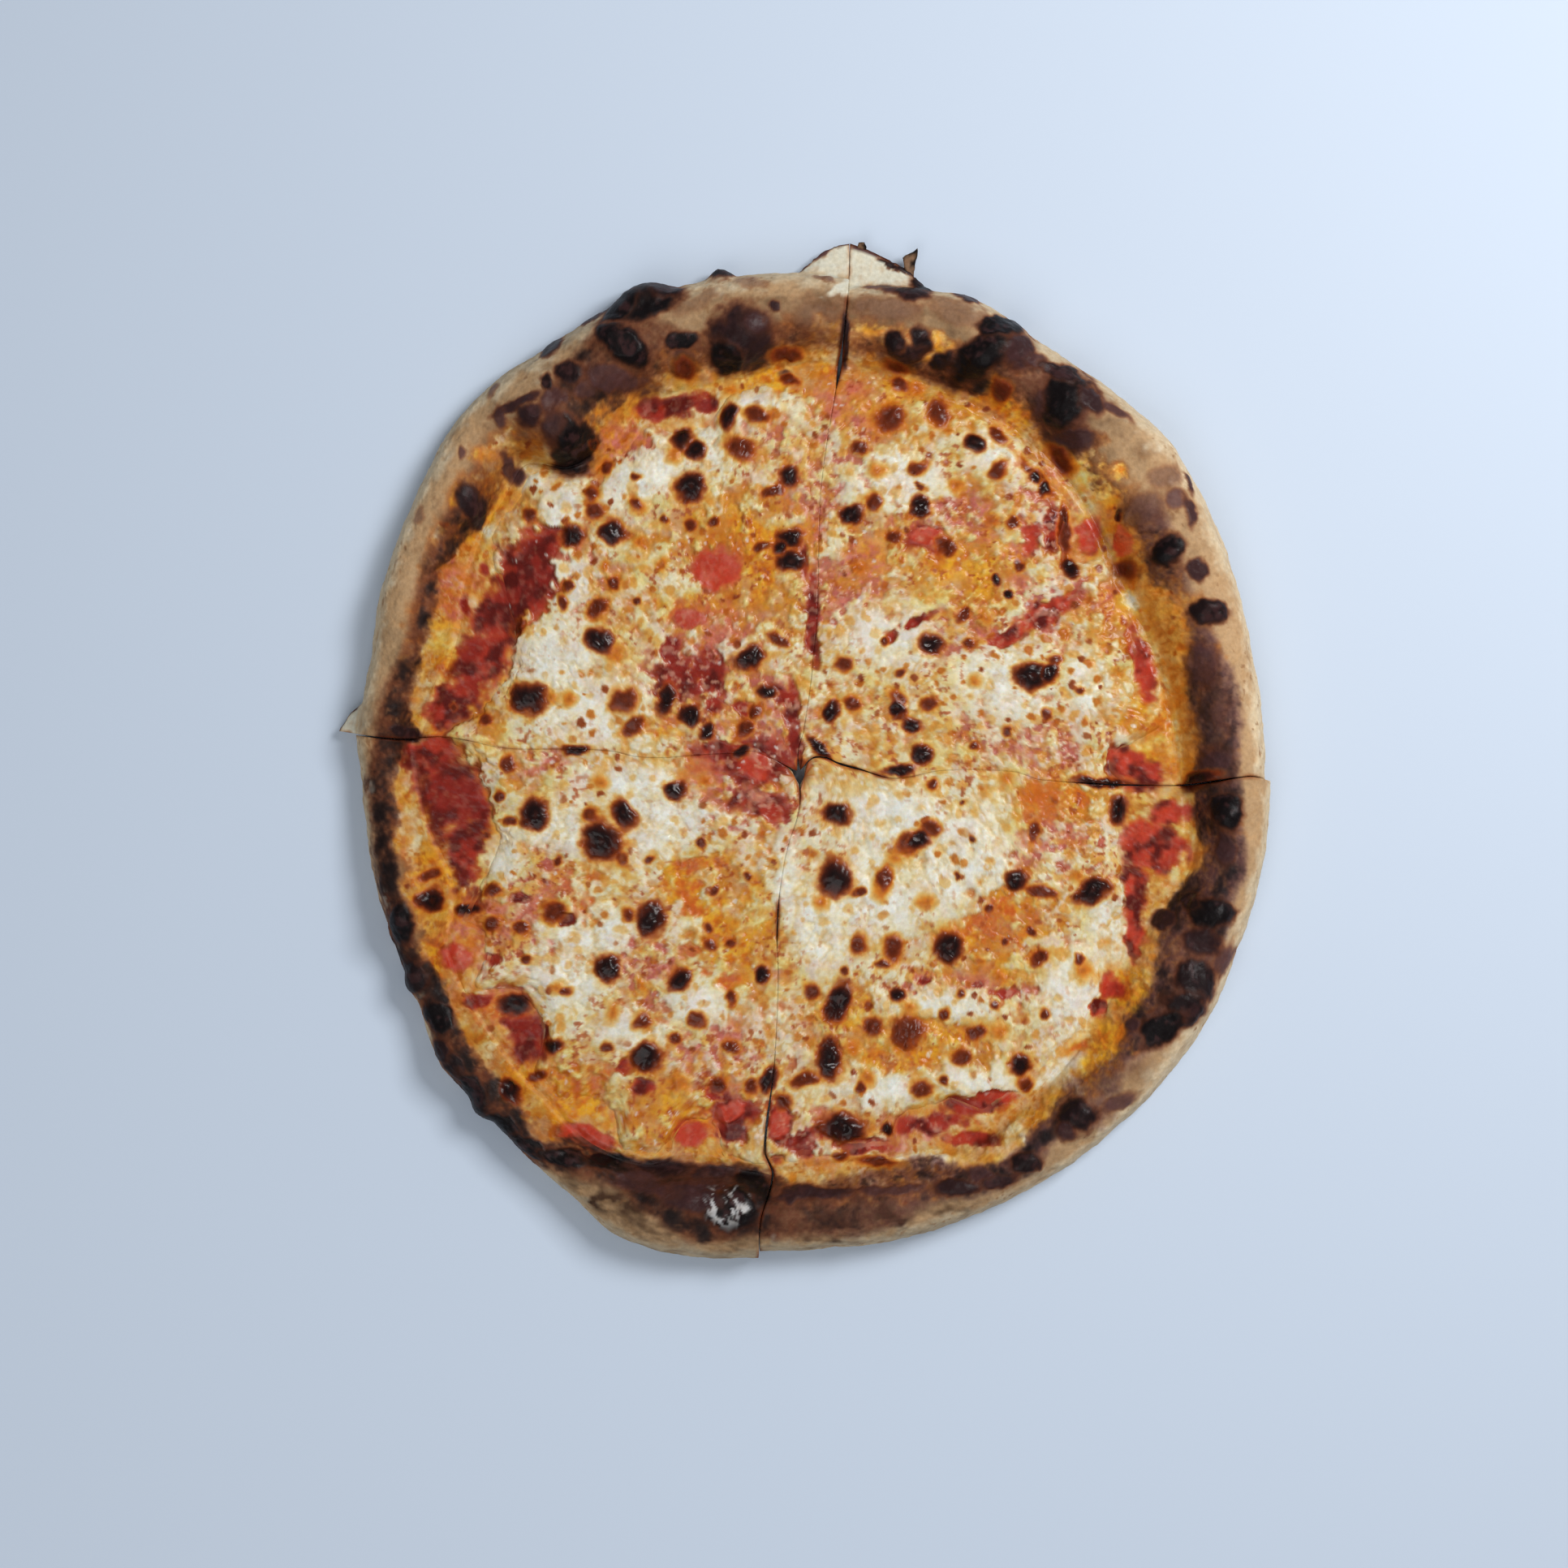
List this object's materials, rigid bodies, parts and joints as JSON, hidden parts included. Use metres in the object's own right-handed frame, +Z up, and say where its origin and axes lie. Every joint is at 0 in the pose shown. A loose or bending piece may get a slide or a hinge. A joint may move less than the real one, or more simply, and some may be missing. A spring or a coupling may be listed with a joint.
{
  "type": "cheese pizza",
  "caption": "Round thin-based cheese pizza with a puffed, charred rim, cut into quarters that still lie together, with tomato sauce showing round the melted cheese.",
  "frame": {"origin": "on the table, under the middle of the whole pizza's box", "axes": "+Z up; +Y towards the edge with the torn flap of dough; +X to the right of it seen from above"},
  "size_m": [0.2542, 0.2772, 0.0205],
  "materials": {
    "crust": "baked dough, matt, tan to charred black",
    "sauce": "cooked tomato, moist and dark red",
    "cheese": "melted cheese, oily, cream to orange with dark blisters"
  },
  "bodies": {
    "root": {"crust_ne": "crust", "crust_nw": "crust", "crust_sw": "crust", "crust_se": "crust", "sauce_ne": "sauce", "sauce_nw": "sauce", "sauce_sw": "sauce", "sauce_se": "sauce", "cheese_ne": "cheese", "cheese_nw": "cheese", "cheese_sw": "cheese", "cheese_se": "cheese"}
  },
  "joints": []
}
